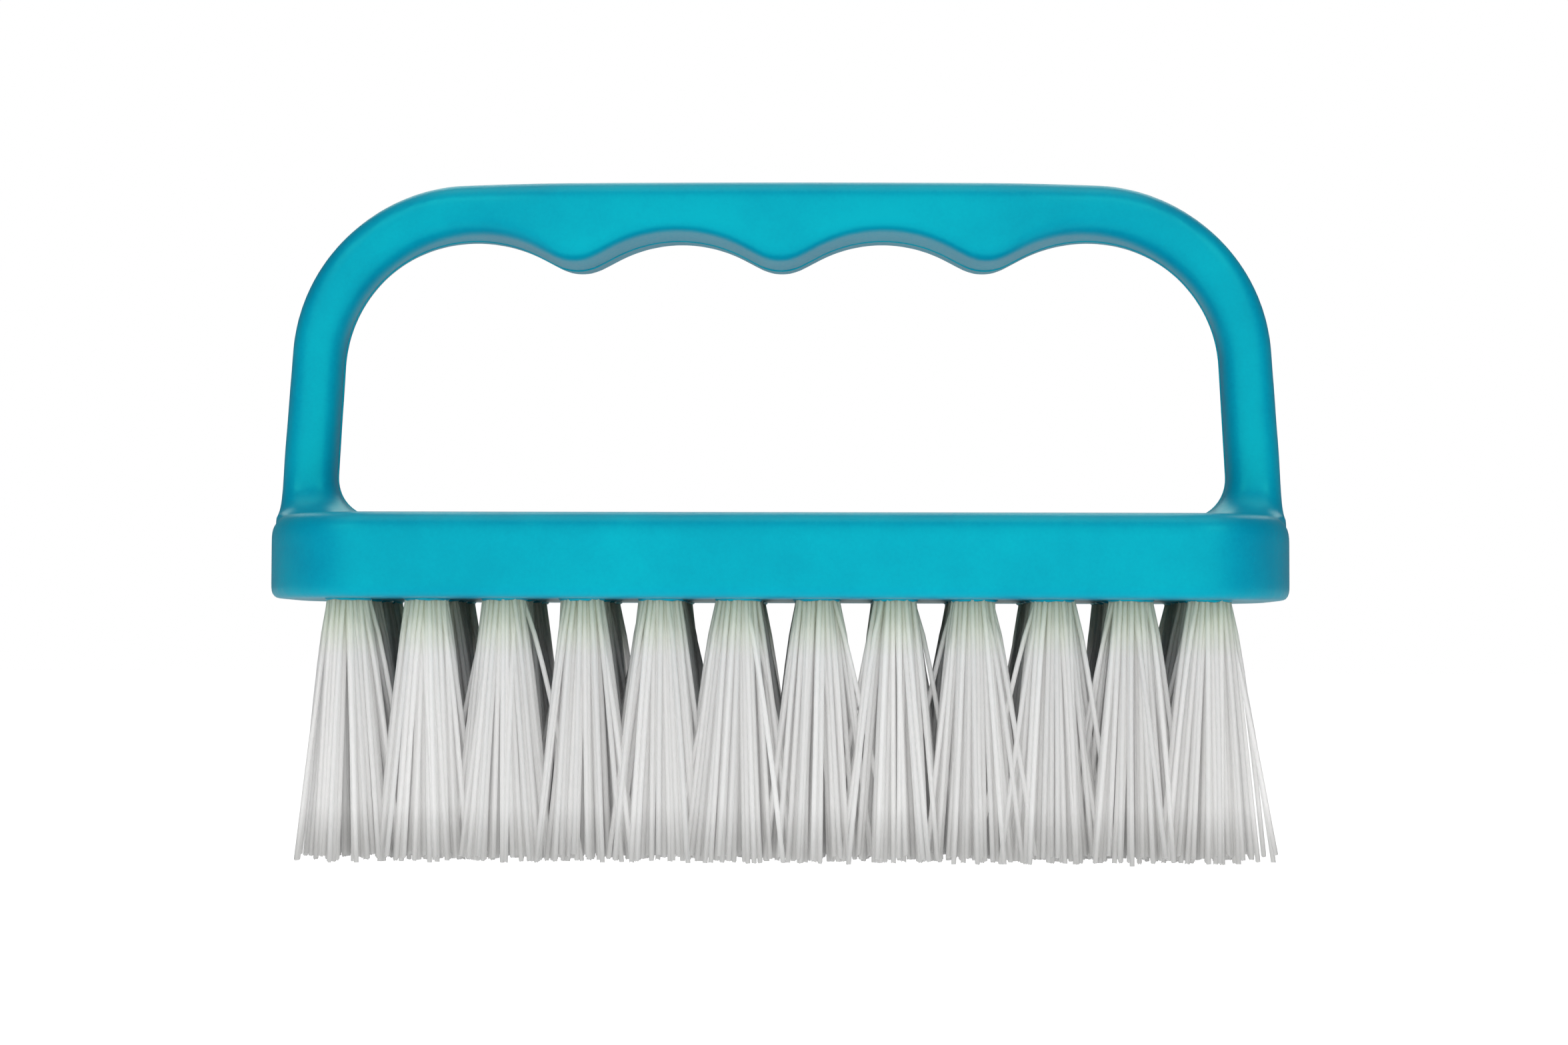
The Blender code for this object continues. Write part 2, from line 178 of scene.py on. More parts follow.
def mouldedPolypropylene():
    # Polypropylene, injection moulded in a spark-eroded mould: a saturated turquoise right through,
    # satin, with a fine grain that breaks the highlights up and a few hairline scratches.
    material, tree, shader = newMaterial("mouldedPolypropylene")
    place = addNode(tree, "ShaderNodeTexCoord", out="Object")

    grain = addNode(tree, "ShaderNodeTexNoise", {}, {
        "Vector": place, "Scale": 1 / (plastic["grain"] * mm), "Detail": 4.0, "Roughness": 0.6})
    drift = addNode(tree, "ShaderNodeTexNoise", {}, {
        "Vector": place, "Scale": 1 / (plastic["flow"] * mm), "Detail": 3.0, "Roughness": 0.55})
    mottled = addNode(tree, maths, "MULTIPLY_ADD", {0: grain, 1: plastic["mottle"], 2: drift})
    shade = addNode(tree, "ShaderNodeValToRGB", {}, {"Fac": mottled})
    ramp = shade.node.color_ramp
    middle = 0.5 + plastic["mottle"] / 2
    ramp.elements[0].position = middle - plastic["toneReach"]
    ramp.elements[0].color = toLinear(plastic["deep"])
    ramp.elements[1].position = middle + plastic["toneReach"]
    ramp.elements[1].color = toLinear(plastic["pale"])
    ramp.elements.new(middle).color = toLinear(plastic["body"])

    streaks = addNode(tree, "ShaderNodeMapping", {}, {
        "Vector": place, "Rotation": plastic["scratchWay"], "Scale": plastic["scratchStretch"]})
    hairlines = addNode(tree, "ShaderNodeTexNoise", {}, {
        "Vector": streaks, "Scale": 1 / (plastic["scratch"] * mm), "Detail": 2.0})
    thin = addNode(tree, "ShaderNodeMapRange", {}, {
        "Value": hairlines, "From Min": plastic["scratchFrom"], "From Max": plastic["scratchFull"],
        "To Min": 0.0, "To Max": -plastic["scratchDepth"]})
    height = addNode(tree, maths, "ADD", {0: grain, 1: thin})
    bump = addNode(tree, "ShaderNodeBump", {}, {
        "Height": height, "Distance": plastic["grainDepth"] * mm, "Strength": 1.0})
    gloss = addNode(tree, "ShaderNodeMapRange", {}, {
        "Value": grain, "From Min": noiseLow, "From Max": noiseHigh,
        "To Min": plastic["smoothest"], "To Max": plastic["roughest"]})
    setInputs(tree, shader, {
        "Base Color": shade, "Normal": bump, "Roughness": gloss, "IOR": plastic["ior"],
        "Specular IOR Level": plastic["specular"], "Specular Tint": toLinear(plastic["specularTint"])})
    return material


filament = {
    "clear": "F0F0F0",
    "dull": "E5E5E5",
    "root": "D9E1CF",      # painted bounce light and shade: greener and darker next to the block
    "rootBounceShare": 0.8,
    "rootReach": (0.1, 0.3),      # along a strand, from full to none
    "tip": "C0C0BF",       # painted shade, darker towards the cut ends
    "tipShadeShare": 0.6,
    "tipReach": (0.82, 1.0),      # along a strand, from none to full
    "roughness": 0.4,
    "ior": 1.53,
    "specular": 0.28,
    "through": 0.5,        # light that leaves on a strand's far side
    "thinShadow": 0.92,    # light that a strand's shadow lets by
}


def extrudedFilament():
    # Polyamide monofilament, extruded and drawn: milky and a little clear, so light passes from
    # strand to strand, with a soft sheen along each strand.
    material, tree, shader = newMaterial("extrudedFilament")
    shade = addNode(tree, "ShaderNodeAttribute", {"attribute_name": "shade"}, {}, "Fac")
    along = addNode(tree, "ShaderNodeAttribute", {"attribute_name": "along"}, {}, "Fac")
    colour = addNode(tree, "ShaderNodeMix", {"data_type": "RGBA"}, {
        "Factor": shade, "A": toLinear(filament["dull"]), "B": toLinear(filament["clear"])}, "Result")
    # painted light along each strand: bounce light and shade near the root, shade towards the tip
    for end, before, after in (("root", filament["rootBounceShare"], 0.0), ("tip", 0.0, filament["tipShadeShare"])):
        first, last = filament[end + "Reach"]
        near = addNode(tree, "ShaderNodeMapRange", {}, {
            "Value": along, "From Min": first, "From Max": last, "To Min": before, "To Max": after})
        colour = addNode(tree, "ShaderNodeMix", {"data_type": "RGBA"}, {
            "Factor": near, "A": colour, "B": toLinear(filament[end])}, "Result")
    setInputs(tree, shader, {
        "Base Color": colour, "Roughness": filament["roughness"], "IOR": filament["ior"],
        "Specular IOR Level": filament["specular"]})
    through = addNode(tree, "ShaderNodeBsdfTranslucent", {}, {"Color": colour})
    milky = addNode(tree, "ShaderNodeMixShader", {}, {
        0: filament["through"], 1: shader.outputs["BSDF"], 2: through})
    shadowRay = addNode(tree, "ShaderNodeLightPath").node.outputs["Is Shadow Ray"]
    letBy = addNode(tree, maths, "MULTIPLY", {0: shadowRay, 1: filament["thinShadow"]})
    thin = addNode(tree, "ShaderNodeBsdfTransparent")
    mixed = addNode(tree, "ShaderNodeMixShader", {}, {0: letBy, 1: milky, 2: thin})
    tree.links.new(mixed, tree.nodes["Material Output"].inputs["Surface"])
    return material


steel = {
    "colour": "B4B6B8",
    "smoothest": 0.3,      # roughness
    "roughest": 0.5,
    "lines": 2.0,          # millimetres
    "linesStretch": (1, 20, 20),
}


def rolledSteelWire():
    # Flat wire, rolled from galvanised steel: dull grey with faint lines along its length.
    material, tree, shader = newMaterial("rolledSteelWire")
    place = addNode(tree, "ShaderNodeTexCoord", out="Object")
    along = addNode(tree, "ShaderNodeMapping", {}, {"Vector": place, "Scale": steel["linesStretch"]})
    lines = addNode(tree, "ShaderNodeTexNoise", {}, {"Vector": along, "Scale": 1 / (steel["lines"] * mm)})
    rough = addNode(tree, "ShaderNodeMapRange", {}, {
        "Value": lines, "From Min": noiseLow, "From Max": noiseHigh,
        "To Min": steel["smoothest"], "To Max": steel["roughest"]})
    setInputs(tree, shader, {"Base Color": toLinear(steel["colour"]), "Metallic": 1.0, "Roughness": rough})
    return material


polypropylene = mouldedPolypropylene()
monofilament = extrudedFilament()
wireSteel = rolledSteelWire()
print("materials made")

# The moulding: block and bow handle, in one piece

bodyLow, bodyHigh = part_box("brush_body")
block = {                  # millimetres
    "height": 10.8,
    "cornerRadius": 14.0,
    "cornerSteps": 16,
    "topFillet": 2.8,
    "topSteps": 10,
    "bottomFillet": 1.1,
    "bottomSteps": 5,
}
handle = {
    "gripDepth": 16.6,     # front to back over the finger grip
    "legDepth": 8.0,
    "taperTurn": 45.0,     # degrees round the opening's corner where the legs' depth is reached
    "crown": 0.2,
    "shoulderInset": 1.14,
    "shoulderRadius": 23.2,
    "legThickness": 6.7,
    "legSplay": 4.0,       # degrees
    "openingRadius": 17.3,
    "openingSplay": 3.2,   # degrees
    "barThickness": 7.2,
    "outerEdge": 2.7,
    "innerEdge": 1.7,
    "legInnerEdge": 2.8,   # rounder on the legs than over the grip
    "edgesFill": 0.98,     # share of the bar's thickness that its two edges may take
    "draft": 3.0,          # degrees
    "footRadius": 5.5,
    "footArc": 88.0,       # degrees
    "flareHeight": 9.7,
    "flush": 0.05,
    "outerSpread": 0.3,    # share of the foot's spread that rounds its outer edge
    "sunk": 1.0,           # into the block, below its top fillet
    "barSteps": 96,        # to half of the bar
    "shoulderSteps": 32,
    "legSteps": 4,
    "flareSteps": 10,
    "footSteps": 12,
    "innerEdgeSteps": 8,
    "outerEdgeSteps": 10,
}
grip = {
    "bumps": 3,
    "depth": 3.9,          # millimetres
    "flankShare": 1.7,     # how steep the flanks are, against a straight line from hollow to bump
    "hollowShare": 0.75,   # of a hollow's and a bump's radius together
}
skin = {
    "voxel": 0.5,          # millimetres
    "smoothing": 5,
    "smoothingShare": 0.5,
    "sharp": 38.0,         # degrees
}

blockBase = bodyLow.z
blockTop = blockBase + block["height"] * mm
barTop = bodyHigh.z
halfLength = bodyHigh.x
halfWidth = bodyHigh.y
bowHalf = halfLength - handle["shoulderInset"] * mm
openingHalf = bowHalf - handle["legThickness"] * mm
gripEnd = openingHalf - handle["openingRadius"] * mm
gripPitch = 2 * gripEnd / grip["bumps"]


def blockRing(inset, z):
    radius = block["cornerRadius"] * mm - inset
    x = halfLength - block["cornerRadius"] * mm
    y = halfWidth - block["cornerRadius"] * mm
    ring = []
    for quarter, (sideX, sideY) in enumerate(((1, 1), (-1, 1), (-1, -1), (1, -1))):
        for angle in turn(block["cornerSteps"]):
            way = angle + quarter * math.pi / 2
            ring.append((sideX * x + radius * math.cos(way), sideY * y + radius * math.sin(way), z))
    return ring


def makeBlock():
    top = block["topFillet"] * mm
    bottom = block["bottomFillet"] * mm
    rings = [
        blockRing(bottom * (1 - math.sin(angle)), blockBase + bottom * (1 - math.cos(angle)))
        for angle in turn(block["bottomSteps"])]
    rings += [
        blockRing(top * (1 - math.cos(angle)), blockTop - top * (1 - math.sin(angle)))
        for angle in turn(block["topSteps"])]
    bm = bmesh.new()
    loftRings(bm, rings)
    return meshObject("blockBlank", bm)


def bowDepth(along):
    # front to back, full over the grip and drawn in round the shoulders to the legs
    taperEnd = gripEnd + handle["openingRadius"] * mm * math.radians(handle["taperTurn"])
    share = min(max((along - gripPitch) / (taperEnd - gripPitch), 0), 1)
    drawnIn = (handle["legDepth"] - handle["gripDepth"]) * share ** 2 * (3 - 2 * share)
    return (handle["gripDepth"] + drawnIn) * mm


def legSide(end, splay, z):
    # where a side of the leg, drawn straight on from its upper end, is at a level
    return Vector((end.x + (end.y - z) * math.tan(splay), z))


def bowStations():
    # half of the bow, from its middle to a foot: inner point, outer point, depth, the foot's spread,
    # how far its outer side has turned into the block's end, and its share of the grip
    shoulder = handle["shoulderRadius"] * mm
    corner = handle["openingRadius"] * mm
    under = barTop - handle["barThickness"] * mm
    crown = handle["crown"] * mm
    legSplay = math.radians(handle["legSplay"])
    openingSplay = math.radians(handle["openingSplay"])
    stations = []
    for i in range(handle["barSteps"]):
        share = i / handle["barSteps"]
        outer = Vector(((bowHalf - shoulder) * share, barTop - crown * share ** 2))
        stations.append((Vector((gripEnd * share, under)), outer, bowDepth(gripEnd * share), 0, 0, 1))

    innerCentre = Vector((gripEnd, under - corner))
    outerCentre = Vector((bowHalf - shoulder, barTop - crown - shoulder))
    steps = handle["shoulderSteps"]
    for a, b in zip(turn(steps, math.pi / 2 - openingSplay), turn(steps, math.pi / 2 - legSplay)):
        inner = innerCentre + corner * Vector((math.sin(a), math.cos(a)))
        outer = outerCentre + shoulder * Vector((math.sin(b), math.cos(b)))
        stations.append((inner, outer, bowDepth(gripEnd + corner * a), 0, 0, 0))

    innerEnd, outerEnd = stations[-1][:2]
    flareHeight = handle["flareHeight"] * mm
    foot = handle["footRadius"] * mm
    legDepth = handle["legDepth"] * mm
    for i in range(1, handle["legSteps"]):
        share = i / handle["legSteps"]
        inner = legSide(innerEnd, openingSplay, innerEnd.y + (blockTop + flareHeight - innerEnd.y) * share)
        outer = legSide(outerEnd, legSplay, outerEnd.y + (blockTop + flareHeight - outerEnd.y) * share)
        stations.append((inner, outer, legDepth, 0, 0, 0))
    steps = handle["flareSteps"]
    heights = [flareHeight + (foot - flareHeight) * i / steps for i in range(steps)]
    heights += [
        foot * (1 - math.sin(angle)) for angle in turn(handle["footSteps"], math.radians(handle["footArc"]))]
    stepOut = halfLength - handle["flush"] * mm - legSide(outerEnd, legSplay, blockTop).x
    for height in heights:
        below = max(foot - height, 0)
        spread = foot - math.sqrt(foot ** 2 - below ** 2)
        inner = legSide(innerEnd, openingSplay, blockTop + height) - Vector((spread, 0))
        outer = legSide(outerEnd, legSplay, blockTop + height)
        flare = max(1 - height / flareHeight, 0)
        outer.x += stepOut * flare ** 2
        stations.append((inner, outer, legDepth, spread, flare, 0))
    inner, outer, *form = stations[-1]
    sunk = blockTop - block["topFillet"] * mm - handle["sunk"] * mm
    stations.append((Vector((inner.x, sunk)), Vector((outer.x, sunk)), *form))
    return stations


def bowSection(inner, outer, depth, spread, flare):
    # points of the section, each with how far it follows the finger grip's wave
    across = outer - inner
    width = across.length
    across.normalize()
    draft = math.tan(math.radians(handle["draft"]))
    halfDepth = depth / 2 + spread
    slim = (handle["gripDepth"] - depth / mm) / (handle["gripDepth"] - handle["legDepth"])
    innerRadius = (handle["innerEdge"] + (handle["legInnerEdge"] - handle["innerEdge"]) * slim) * mm + spread
    outerRadius = handle["outerEdge"] * mm + handle["outerSpread"] * spread
    fit = min(1, (width - 2 * halfDepth * draft) / (outerRadius + innerRadius) * handle["edgesFill"])
    innerRadius *= fit
    outerRadius *= fit
    side = []
    for angle in turn(handle["innerEdgeSteps"]):
        t = (halfDepth - innerRadius) * draft + innerRadius * (1 - math.cos(angle))
        side.append((t, halfDepth - innerRadius * (1 - math.sin(angle)), 1))
    for angle in turn(handle["outerEdgeSteps"]):
        t = width - (halfDepth - outerRadius) * draft * (1 - flare) - outerRadius * (1 - math.sin(angle))
        side.append((t, halfDepth - outerRadius * (1 - math.cos(angle)), 0))
    profile = [(0, 0, 1)] + [(t, -y, w) for t, y, w in side] + [(width, 0, 0)] + side[::-1]
    ring = [(inner.x + across.x * t, y, inner.y + across.y * t) for t, y, _ in profile]
    return ring, [w for _, _, w in profile]


def mirrored(stations):
    left = []
    for inner, outer, *form in reversed(stations[1:]):
        left.append((Vector((-inner.x, inner.y)), Vector((-outer.x, outer.y)), *form))
    return left + stations


def makeBow():
    bm = bmesh.new()
    rings, weights = [], []
    for *form, share in mirrored(bowStations()):
        ring, weight = bowSection(*form)
        rings.append(ring)
        weights += [w * share for w in weight]
    loftRings(bm, rings)
    bow = meshObject("bowBlank", bm)
    bow.data.attributes.new("gripShare", "FLOAT", "POINT").data.foreach_set("value", weights)
    return bow


def fingerGripTree():
    # Draws the bar's underside down between the fingers: a hollow's arc, a straight flank, a bump's
    # arc. All three are one sum, since each term stops growing where the next one starts.
    tree, given = newTree("fingerGrip", {
        "Grip End": "Float", "Pitch": "Float", "Flank": "Float", "Hollow Radius": "Float",
        "Bump Radius": "Float"})
    x = addNode(tree, "ShaderNodeSeparateXYZ", {}, {0: addNode(tree, "GeometryNodeInputPosition")})
    fromEnd = addNode(tree, maths, "SUBTRACT", {
        0: given["Grip End"], 1: addNode(tree, maths, "ABSOLUTE", {0: x})})
    half = addNode(tree, maths, "MULTIPLY", {0: given["Pitch"], 1: 0.5})
    fromHollow = addNode(tree, maths, "PINGPONG", {0: fromEnd, 1: half})
    sine, cosine, slope = [
        addNode(tree, maths, ratio, {0: given["Flank"]}) for ratio in ("SINE", "COSINE", "TANGENT")]
    hollowEdge = addNode(tree, maths, "MULTIPLY", {0: given["Hollow Radius"], 1: sine})
    bumpReach = addNode(tree, maths, "MULTIPLY", {0: given["Bump Radius"], 1: sine})
    bumpEdge = addNode(tree, maths, "SUBTRACT", {0: half, 1: bumpReach})

    inHollow = addNode(tree, maths, "MINIMUM", {0: fromHollow, 1: hollowEdge})
    toCrest = addNode(tree, maths, "SUBTRACT", {
        0: half, 1: addNode(tree, maths, "MAXIMUM", {0: fromHollow, 1: bumpEdge})})
    onArc = []
    for radius, reach in ((given["Hollow Radius"], inHollow), (given["Bump Radius"], toCrest)):
        whole, part = [addNode(tree, maths, "MULTIPLY", {0: side, 1: side}) for side in (radius, reach)]
        rest = addNode(tree, maths, "SUBTRACT", {0: whole, 1: part})
        onArc.append(addNode(tree, maths, "SQRT", {0: rest}))
    hollowDrop = addNode(tree, maths, "SUBTRACT", {0: given["Hollow Radius"], 1: onArc[0]})
    bumpDrop = addNode(tree, maths, "SUBTRACT", {
        0: onArc[1], 1: addNode(tree, maths, "MULTIPLY", {0: given["Bump Radius"], 1: cosine})})
    onFlank = addNode(tree, maths, "SUBTRACT", {
        0: addNode(tree, maths, "MAXIMUM", {
            0: hollowEdge, 1: addNode(tree, maths, "MINIMUM", {0: fromHollow, 1: bumpEdge})}),
        1: hollowEdge})
    flankDrop = addNode(tree, maths, "MULTIPLY", {0: onFlank, 1: slope})

    drop = addNode(tree, maths, "ADD", {
        0: addNode(tree, maths, "ADD", {0: hollowDrop, 1: flankDrop}), 1: bumpDrop})
    share = addNode(tree, "GeometryNodeInputNamedAttribute", {"data_type": "FLOAT"}, {"Name": "gripShare"})
    lower = addNode(tree, maths, "MULTIPLY", {
        0: addNode(tree, maths, "MULTIPLY", {0: drop, 1: share}), 1: -1.0})
    shift = addNode(tree, "ShaderNodeCombineXYZ", {}, {"Z": lower})
    moved = addNode(tree, "GeometryNodeSetPosition", {}, {"Geometry": given["Geometry"], "Offset": shift})
    addNode(tree, "NodeGroupOutput", {}, {0: moved})
    return tree


gripTree = fingerGripTree()
gripDepth = grip["depth"] * mm
gripFlank = grip["flankShare"] * math.atan2(gripDepth, gripPitch / 2)
gripRadii = gripPitch / 2 * math.sin(gripFlank) - gripDepth * math.cos(gripFlank)
gripRadii /= 1 - math.cos(gripFlank)     # a hollow's and a bump's together
gripValues = {
    "Grip End": gripEnd,
    "Pitch": gripPitch,
    "Flank": gripFlank,
    "Hollow Radius": grip["hollowShare"] * gripRadii,
    "Bump Radius": (1 - grip["hollowShare"]) * gripRadii,
}

# The tuft holes, four rows of twelve

holes = {                  # millimetres
    "columns": 12,
    "rows": 4,
    "endMargin": 10.85,
    "sideMargin": 7.5,
    "diameter": 5.6,
    "depth": 7.5,
    "point": 118.0,        # degrees, at the drill's tip
    "pointFlat": 0.02,     # share of the radius that stays flat at the very tip
    "start": 1.0,          # of the drill, below the block
    "sides": 20,
}
columnPitch = 2 * (halfLength - holes["endMargin"] * mm) / (holes["columns"] - 1)
rowPitch = 2 * (halfWidth - holes["sideMargin"] * mm) / (holes["rows"] - 1)


def holePlace(row, column):
    x = (column - (holes["columns"] - 1) / 2) * columnPitch
    y = (row - (holes["rows"] - 1) / 2) * rowPitch
    return Vector((x, y, blockBase))


allHoles = [holePlace(row, column) for row in range(holes["rows"]) for column in range(holes["columns"])]


def makeDrills():
    radius = holes["diameter"] * mm / 2
    start = blockBase - holes["start"] * mm
    floor = blockBase + holes["depth"] * mm
    tip = floor + radius / math.tan(math.radians(holes["point"]) / 2)
    around = [2 * math.pi * i / holes["sides"] for i in range(holes["sides"])]
    bm = bmesh.new()
    for place in allHoles:
        loftRings(bm, [
            [(place.x + reach * math.cos(angle), place.y + reach * math.sin(angle), z) for angle in around]
            for reach, z in ((radius, start), (radius, floor), (holes["pointFlat"] * radius, tip))])
    bmesh.ops.recalc_face_normals(bm, faces=bm.faces)
    return meshObject("holeDrills", bm)


def makeBody():
    bow = makeBow()
    bakeTree(bow, gripTree, gripValues)
    body = makeBlock()
    joined = bmesh.new()
    joined.from_mesh(body.data)
    joined.from_mesh(bow.data)
    bmesh.ops.recalc_face_normals(joined, faces=joined.faces)
    joined.to_mesh(body.data)
    joined.free()
    bpy.data.objects.remove(bow)
    body.name = "brushBody"

    weld = body.modifiers.new("weld", "REMESH")     # block and bow grow together, with soft inner corners
    weld.mode = "VOXEL"
    weld.voxel_size = skin["voxel"] * mm
    weld.use_smooth_shade = True
    soften = body.modifiers.new("soften", "SMOOTH")
    soften.factor = skin["smoothingShare"]
    soften.iterations = skin["smoothing"]
    bakeModifiers(body)

    drills = makeDrills()
    drilling = body.modifiers.new("drilling", "BOOLEAN")
    drilling.operation = "DIFFERENCE"
    drilling.object = drills
    bakeModifiers(body)
    bpy.data.objects.remove(drills)
    body.data.materials.clear()
    body.data.materials.append(polypropylene)
    body.data.shade_smooth()
    body.data.set_sharp_from_angle(angle=math.radians(skin["sharp"]))
    return body


brushBody = makeBody()
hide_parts("brush_body")
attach(brushBody, "root")
print("moulding made:", len(brushBody.data.polygons), "faces")

# The mould's parting line, a fine ridge along the middle of the bow

ridge = {                  # millimetres
    "width": 0.22,
    "sides": 5,
}


def partingTree():
    tree, given = newTree("partingRidge", {"Radius": "Float", "Sides": "Int", "Material": "Material"})
    path = addNode(tree, "GeometryNodeMeshToCurve", {}, {0: given["Geometry"]})
    profile = addNode(tree, "GeometryNodeCurvePrimitiveCircle", {}, {
        "Resolution": given["Sides"], "Radius": given["Radius"]})
    swept = addNode(tree, "GeometryNodeCurveToMesh", {}, {
        "Curve": path, "Profile Curve": profile, "Fill Caps": True})
    return endTree(tree, swept, given["Material"])


def makeRidge():
    stations = mirrored(bowStations())
    bm = bmesh.new()
    shares = []
    for which in (0, 1):
        line = []
        for station in stations[1:-1]:
            point = station[which]
            line.append(bm.verts.new((point.x, 0, point.y)))
            shares.append(station[-1] if which == 0 else 0)
        for a, b in zip(line, line[1:]):
            bm.edges.new((a, b))
    item = meshObject("partingRidge", bm)
    item.data.attributes.new("gripShare", "FLOAT", "POINT").data.foreach_set("value", shares)
    bakeTree(item, gripTree, gripValues)
    bakeTree(item, partingTree(), {
        "Radius": ridge["width"] / 2 * mm, "Sides": ridge["sides"], "Material": polypropylene})
    item.data.shade_smooth()
    return item


partingRidge = makeRidge()
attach(partingRidge, "root")
print("parting ridge made")

# Burrs that the drill left round the holes

burr = {                   # millimetres
    "radius": 2.78,
    "thick": 0.2,
    "ragged": 0.55,
    "droop": 0.06,         # share of that by which every burr hangs lower
    "size": 0.9,           # of a lump of the burr
    "sides": 22,
    "thickSides": 4,
    "seed": 3,
}


def burrTree():
    tree, given = newTree("drillBurrs", {
        "Radius": "Float", "Thick": "Float", "Ragged": "Float", "Droop": "Float", "Size": "Float",
        "Sides": "Int", "Thick Sides": "Int", "Seed": "Int", "Material": "Material"})
    ring = addNode(tree, "GeometryNodeCurvePrimitiveCircle", {}, {
        "Resolution": given["Sides"], "Radius": given["Radius"]})
    profile = addNode(tree, "GeometryNodeCurvePrimitiveCircle", {}, {
        "Resolution": given["Thick Sides"], "Radius": given["Thick"]})
    collar = addNode(tree, "GeometryNodeCurveToMesh", {}, {"Curve": ring, "Profile Curve": profile})
    spin = addNode(tree, "FunctionNodeRandomValue", {"data_type": "FLOAT"}, {
        "Seed": given["Seed"], 2: 0.0, 3: 2 * math.pi}, 1)
    turned = addNode(tree, "ShaderNodeCombineXYZ", {}, {"Z": spin})
    placed = addNode(tree, "GeometryNodeInstanceOnPoints", {}, {
        "Points": given["Geometry"], "Instance": collar, "Rotation": turned})
    real = addNode(tree, "GeometryNodeRealizeInstances", {}, {0: placed})
    finer = addNode(tree, maths, "DIVIDE", {0: 1.0, 1: given["Size"]})
    lumps = addNode(tree, "ShaderNodeTexNoise", {}, {"Scale": finer, "Detail": 2.0}, "Color")
    level = addNode(tree, maths, "ADD", {0: 0.5, 1: given["Droop"]})
    middle = addNode(tree, "ShaderNodeCombineXYZ", {}, {"X": 0.5, "Y": 0.5, "Z": level})
    centred = addNode(tree, vectors, "SUBTRACT", {0: lumps, 1: middle})
    push = addNode(tree, vectors, "SCALE", {0: centred, "Scale": given["Ragged"]})
    torn = addNode(tree, "GeometryNodeSetPosition", {}, {"Geometry": real, "Offset": push})
    return endTree(tree, torn, given["Material"])


def pointsObject(name, places):
    bm = bmesh.new()
    for place in places:
        bm.verts.new(place)
    return meshObject(name, bm)


drillBurrs = pointsObject("drillBurrs", allHoles)
bakeTree(drillBurrs, burrTree(), {
    "Radius": burr["radius"] * mm, "Thick": burr["thick"] * mm, "Ragged": burr["ragged"] * mm,
    "Droop": burr["droop"], "Size": burr["size"] * mm, "Sides": burr["sides"],
    "Thick Sides": burr["thickSides"], "Seed": burr["seed"], "Material": polypropylene})
drillBurrs.data.shade_smooth()
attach(drillBurrs, "root")
print("burrs made")

# Flat wire anchors across the holes, which hold the folded tufts

anchor = {                 # millimetres
    "length": 6.8,
    "thickness": 0.35,
    "height": 1.8,
    "edge": 0.08,
    "edgeSteps": 2,
    "top": 5.5,            # above the block's underside
}


def anchorTree():
    tree, given = newTree("anchorWires", {
        "Length": "Float", "Thickness": "Float", "Height": "Float", "Edge": "Float", "Edge Steps": "Int",
        "Material": "Material"})
    ends = []
    for side in (-0.5, 0.5):
        x = addNode(tree, maths, "MULTIPLY", {0: given["Length"], 1: side})
        ends.append(addNode(tree, "ShaderNodeCombineXYZ", {}, {"X": x}))
    line = addNode(tree, "GeometryNodeCurvePrimitiveLine", {}, {"Start": ends[0], "End": ends[1]})
    flat = addNode(tree, "GeometryNodeCurvePrimitiveQuadrilateral", {}, {
        "Width": given["Thickness"], "Height": given["Height"]})
    eased = addNode(tree, "GeometryNodeFilletCurve", {"mode": "POLY"}, {
        "Curve": flat, "Radius": given["Edge"], "Count": given["Edge Steps"]})
    wire = addNode(tree, "GeometryNodeCurveToMesh", {}, {
        "Curve": line, "Profile Curve": eased, "Fill Caps": True})
    placed = addNode(tree, "GeometryNodeInstanceOnPoints", {}, {
        "Points": given["Geometry"], "Instance": wire})
    return endTree(tree, placed, given["Material"])


anchorMiddle = Vector((0, 0, (anchor["top"] - anchor["height"] / 2) * mm))
anchorWires = pointsObject("anchorWires", [place + anchorMiddle for place in allHoles])
bakeTree(anchorWires, anchorTree(), {
    "Length": anchor["length"] * mm, "Thickness": anchor["thickness"] * mm, "Height": anchor["height"] * mm,
    "Edge": anchor["edge"] * mm, "Edge Steps": anchor["edgeSteps"], "Material": wireSteel})
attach(anchorWires, "root")
print("anchors made")

# The tufts: each a bundle of stiff filaments that fans out of its hole

tuft = {                   # millimetres
    "strands": 84,
    "diameter": 0.62,
    "sides": 6,            # of a strand
    "segments": 9,         # along it
    "sharp": 70.0,         # degrees
    "bundle": 2.48,        # radius to the outermost strands' middles
    "spin": 6.283,         # radians that a bundle may be turned by
    "inside": 3.6,         # how far the strands are drawn into the hole
    "fan": 1.6,            # how far a tip moves out for each mm from the bundle's middle
    "fanVaries": 0.2,
    "scatter": 1.2,
    "clump": 1.5,          # how far bunches of strands drift together
    "clumpSize": 1.3,
    "bend": 0.5,
    "flare": 0.69,         # power of a strand's curve, 1 for a straight strand
    "flareVaries": 0.27,
    "strayShare": 0.16,
    "strayReach": 4.4,
    "lean": 0.5,
    "leftLean": -1.1,      # of the end tufts, outward above 0 and inward below
    "rightLean": -0.9,
    "sideLean": 0.5,       # outward, of the front and back rows
    "ragged": 1.15,        # spread of the tip levels
    "raggedPower": 1.6,    # above 1, most tips stay near the trimmed level
    "seed": 11,
    "seedStep": 101.0,     # from one draw to the next
    "rowSeedStep": 10,
}


